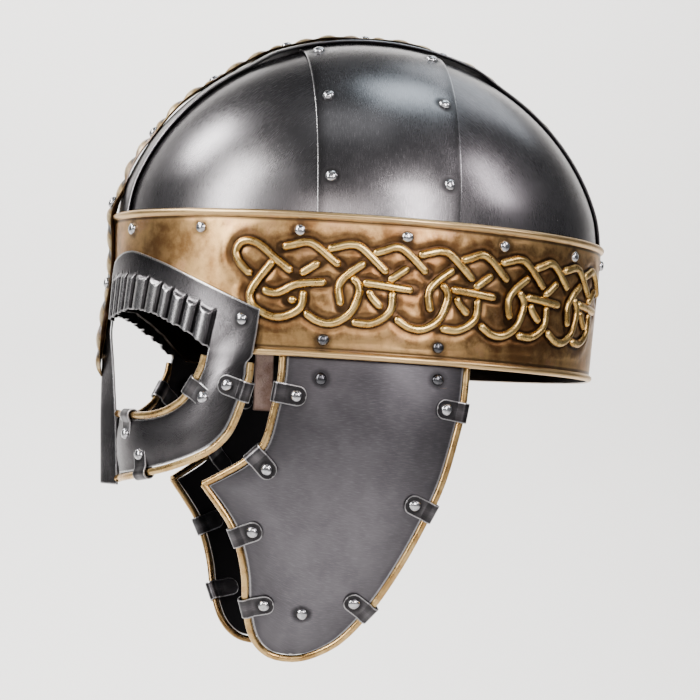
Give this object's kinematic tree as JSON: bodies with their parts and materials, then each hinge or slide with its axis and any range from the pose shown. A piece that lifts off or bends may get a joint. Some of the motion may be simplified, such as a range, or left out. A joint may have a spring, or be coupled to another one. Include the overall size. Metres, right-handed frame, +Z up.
{
  "type": "norse iron helmet",
  "caption": "Riveted iron helmet with a brass brow band, a brass rope crest, a spectacle face guard and two hanging cheek plates.",
  "frame": {"origin": "inside of the crown on the centre line, where the helmet sits on a head", "axes": "+Z up, the face looks along -Y, +X is the wearer's left"},
  "size_m": [0.2064, 0.2394, 0.2967],
  "materials": {
    "helmet_iron": "dark satin iron, finely brushed, with bright worn edges and dark patina round the rivets",
    "clip_iron": "dark satin iron with bright thin edges",
    "band_brass": "aged gold brown sheet with copper patches and dark tarnish in the recesses",
    "rope_brass": "antique brass, twisted rope pattern, tarnished in the grooves",
    "wire_brass": "pale gold drawn wire, lightly tarnished",
    "rivet_steel": "bright polished domed heads",
    "strap_leather": "dark brown vegetable tanned leather, matt"
  },
  "bodies": {
    "root": {"dome_plate_front_left": "helmet_iron", "dome_plate_front_right": "helmet_iron", "dome_plate_back_left": "helmet_iron", "dome_plate_back_right": "helmet_iron", "lateral_band_left": "helmet_iron", "lateral_band_right": "helmet_iron", "crest_band": "helmet_iron", "crest_rope_strip": "rope_brass", "brow_band": "band_brass", "ocular_left": "helmet_iron", "ocular_right": "helmet_iron", "nose_guard": "helmet_iron", "ocular_inner_wire_left": "wire_brass", "ocular_inner_wire_right": "wire_brass", "ocular_outer_wire_left": "wire_brass", "ocular_outer_wire_right": "wire_brass", "ocular_clip_left_1": "clip_iron", "ocular_clip_right_1": "clip_iron", "ocular_clip_left_2": "clip_iron", "ocular_clip_right_2": "clip_iron", "ocular_clip_left_3": "clip_iron", "ocular_clip_right_3": "clip_iron", "ocular_clip_left_4": "clip_iron", "ocular_clip_right_4": "clip_iron", "cheek_plate_left": "helmet_iron", "cheek_plate_right": "helmet_iron", "cheek_wire_left": "wire_brass", "cheek_wire_right": "wire_brass", "cheek_clip_left_1": "clip_iron", "cheek_clip_right_1": "clip_iron", "cheek_clip_left_2": "clip_iron", "cheek_clip_right_2": "clip_iron", "cheek_clip_left_3": "clip_iron", "cheek_clip_right_3": "clip_iron", "cheek_clip_left_4": "clip_iron", "cheek_clip_right_4": "clip_iron", "cheek_clip_left_5": "clip_iron", "cheek_clip_right_5": "clip_iron", "cheek_clip_left_6": "clip_iron", "cheek_clip_right_6": "clip_iron", "cheek_clip_left_7": "clip_iron", "cheek_clip_right_7": "clip_iron", "cheek_strap_left_front": "strap_leather", "cheek_strap_right_front": "strap_leather", "cheek_strap_left_back": "strap_leather", "cheek_strap_right_back": "strap_leather"}
  },
  "joints": []
}
